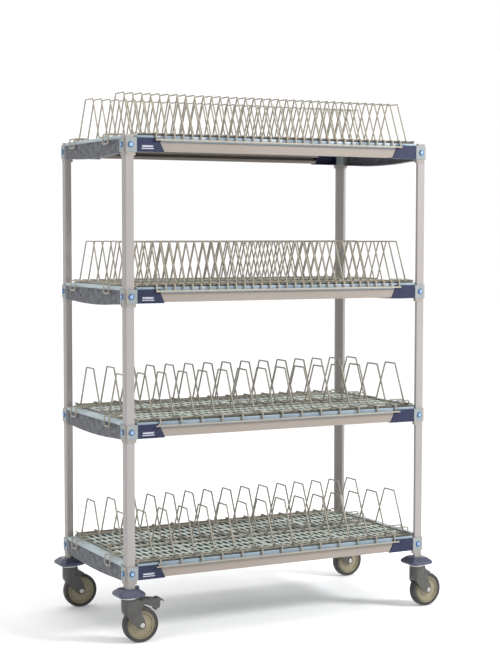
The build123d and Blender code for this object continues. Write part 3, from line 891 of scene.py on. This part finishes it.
# (radius, distance out of the post face)
BUTTON_RING = [(0.0, 0.2)] + [(BUTTON_R - inset, out) for inset, out in (
    (0.6, 0.2), (0, 0.8), (0, 6.6), (0.25, 7.4), (0.9, 8.0), (1.5, 8.2), (2.1, 8.15),
    (2.6, 7.8), (2.9, 7.2), (3.1, 7.0))]
BUTTON_DOME = [(BUTTON_R - inset, out) for inset, out in (
    (3.1, 7.0), (3.3, 7.9), (3.9, 8.6), (5.4, 9.2), (7.4, 9.5))] + [(0.0, 9.65)]


def facing(x, y, z, dx, dy):
    """Sets local y along (dx, dy) and the local origin at (x, y, z)."""
    return lambda p: (x - dy * p[0] + dx * p[1], y + dx * p[0] + dy * p[1], z + p[2])


def add_buttons():
    """A blue ring round a pale dome, on both outer faces of every post at each tier."""
    shape = Shape()
    for z in TIERS:
        for sx in (-1, 1):
            for sy in (-1, 1):
                for place in (facing(sx * (HX - BUTTON_IN), sy * HY, z, 0, sy),
                              facing(sx * HX, sy * (HY - BUTTON_IN), z, sx, 0)):
                    for slot, profile in enumerate((BUTTON_RING, BUTTON_DOME)):
                        shape.add(*lathe(profile, 28, place, closed=False), slot=slot)
    mesh = shape.mesh("lock_button_set", ["button_blue", "button_dome"], row_frame(),
                      sharp=50.0)
    with editing(mesh) as bm:
        bmesh.ops.remove_doubles(bm, verts=bm.verts, dist=1e-6)
        bmesh.ops.recalc_face_normals(bm, faces=bm.faces)
    add_part("lock_button_set", mesh, "lock_buttons")


add_buttons()


# ------------------------------------------------------------------ casters
def mirrored(half):
    return [(radius, -along) for radius, along in reversed(half)]


# (radius, distance along the axle) from one side to the middle
TYRE = [(49.5, -15.4), (51.5, -16.0), (55.0, -16.0), (58.0, -15.4), (60.2, -13.9),
        (61.5, -11.8), (62.2, -9.0), (62.45, -6.0)]
CORE = [(10.0, -15.4), (15.4, -15.4), (16.2, -15.0), (16.8, -13.4), (18.2, -12.2),
        (20.5, -11.4), (30.0, -10.4), (37.5, -10.0), (39.2, -10.4), (40.2, -12.2),
        (41.0, -13.6), (43.6, -13.8), (44.4, -12.6), (44.9, -11.0), (46.4, -11.0),
        (47.2, -12.8), (49.48, -13.6)]
AXLE = [(0.0, -27.4), (2.2, -27.4), (2.6, -26.6), (3.6, -26.4), (4.2, -27.2),
        (6.6, -27.2), (7.8, -26.6), (8.5, -25.6), (8.5, -24.1), (6.0, -24.1)]
BUSH = [(6.05, -18.2), (8.7, -18.2), (9.0, -17.9), (9.0, -16.0), (9.98, -16.0)]
# piece, profile, material, steps round, whether the profile closes on itself
WHEEL_PARTS = [
    ("tyre", TYRE + [(62.5, 0.0)] + mirrored(TYRE), "tyre_rubber", 96, True),
    ("wheel_core", CORE + mirrored(CORE), "core_polymer", 96, True),
    ("axle", AXLE + mirrored(AXLE), "axle_steel", 40, False),
    ("axle_bush", BUSH + mirrored(BUSH), "bush_polymer", 40, True),
]


def wheel_frame(joint):
    """Maps mm about a wheel's centre, y along its axle, to metres in the row frame."""
    centre = np.array(joint["pos_m"])
    axle = unit(np.array(joint["axis"], float))
    up = np.array([0, 0, 1.0])
    across = np.cross(axle, up)
    return lambda p: tuple(centre + MM * (across * p[0] + axle * p[1] + up * p[2]))


for spot in ("front_left", "front_right", "rear_left", "rear_right"):
    place = wheel_frame(JOINTS[f"wheel_spin_{spot}"])
    for piece, profile, material, steps, closed in WHEEL_PARTS:
        node = f"{piece}_{spot}"
        shape = Shape()
        shape.add(*lathe(profile, steps, closed=closed))
        mesh = shape.mesh(node + "_turned", [material], place, sharp=36.0)
        with editing(mesh) as bm:
            bmesh.ops.remove_doubles(bm, verts=bm.verts, dist=1e-6)
        add_part(mesh.name, mesh, node)
    soften(f"caster_fork_{spot}", "fork_polymer", width=2.0, segments=4, angle=24.0, sharp=60.0)
    if f"brake_{spot}" in JOINTS:
        soften(f"brake_pedal_{spot}", "pedal_polymer", width=1.4, angle=24.0, sharp=60.0)


# ------------------------------------------------------------------ stage, light, camera
WHITE = (255, 255, 255)


def add_stage():
    """A pale floor that sweeps up into a wall behind the rack."""
    m = Material("stage_floor")
    m.surface(Base_Color=(250, 250, 251), Roughness=0.75, Emission_Color=WHITE,
              Emission_Strength=0.14)
    wall_y, radius = 5.0, 3.0
    profile = [(-30.0, 0.0), (wall_y, 0.0)]
    for degrees in range(5, 91, 5):
        a = math.radians(degrees)
        profile.append((wall_y + radius * math.sin(a), radius - radius * math.cos(a)))
    profile.append((wall_y + radius, 12.0))
    count = len(profile)
    mesh = bpy.data.meshes.new("stage_sweep")
    mesh.from_pydata([(x, y, z) for x in (-14.0, 14.0) for y, z in profile], [],
                     [(q, q + 1, count + q + 1, count + q) for q in range(count - 1)])
    mesh.materials.append(MATERIALS["stage_floor"])
    for face in mesh.polygons:
        face.use_smooth = True
    new_object("stage_sweep", mesh)


def set_world():
    """White light, with its own brightness where the camera sees past the sweep."""
    world = bpy.data.worlds.new("studio")
    bpy.context.scene.world = world
    world.use_nodes = True
    nodes, links = world.node_tree.nodes, world.node_tree.links
    lighting = nodes["Background"]
    seen = nodes.new("ShaderNodeBackground")
    for background, strength in ((lighting, 0.62), (seen, 0.97)):
        background.inputs["Color"].default_value = (1.0, 1.0, 1.0, 1.0)
        background.inputs["Strength"].default_value = strength
    light_path = nodes.new("ShaderNodeLightPath")
    mix = nodes.new("ShaderNodeMixShader")
    links.new(light_path.outputs["Is Camera Ray"], mix.inputs[0])
    links.new(lighting.outputs[0], mix.inputs[1])
    links.new(seen.outputs[0], mix.inputs[2])
    links.new(mix.outputs[0], nodes["World Output"].inputs[0])


def add_area(name, at, target, size, power):
    light = bpy.data.lights.new(name, "AREA")
    light.shape = "RECTANGLE"
    light.size, light.size_y = size
    light.energy = power
    ob = new_object(name, light)
    ob.location = at
    ob.rotation_euler = (Vector(target) - Vector(at)).to_track_quat("-Z", "Y").to_euler()


def add_camera(at, yaw, pitch, roll, lens):
    """A camera at mm from the middle; yaw turns from +Y to +X, pitch looks down, in degrees."""
    yaw, pitch, roll = (math.radians(angle) for angle in (yaw, pitch, roll))
    forward = np.array([math.sin(yaw) * math.cos(pitch), math.cos(yaw) * math.cos(pitch),
                        -math.sin(pitch)])
    right = np.array([math.cos(yaw), -math.sin(yaw), 0.0])
    up = np.cross(right, forward)
    right, up = (right * math.cos(roll) + up * math.sin(roll),
                 -right * math.sin(roll) + up * math.cos(roll))
    camera = bpy.data.cameras.new("camera")
    camera.sensor_width = 36.0
    camera.sensor_fit = "AUTO"
    camera.lens = lens
    camera.clip_end = 60.0
    ob = new_object("camera", camera)
    rows = zip(right, up, -forward, row_frame()(at))
    ob.matrix_world = Matrix((*rows, (0, 0, 0, 1)))
    bpy.context.scene.camera = ob


add_stage()
set_world()
add_area("key", at=(4.6, -4.4, 4.1), target=(0, 0, 0.95), size=(1.6, 1.6), power=430)
add_area("top", at=(0.3, 0.4, 4.8), target=(0, 0, 0), size=(4.0, 2.6), power=95)
add_area("fill", at=(-4.5, -2.0, 2.6), target=(0, 0, 0.9), size=(2.5, 2.5), power=30)
add_camera(at=(-2602.9, -5109.5, 1395.9), yaw=27.234, pitch=3.7257, roll=0.0829,
           lens=83.9604198)
bpy.context.scene.view_settings.view_transform = "Standard"
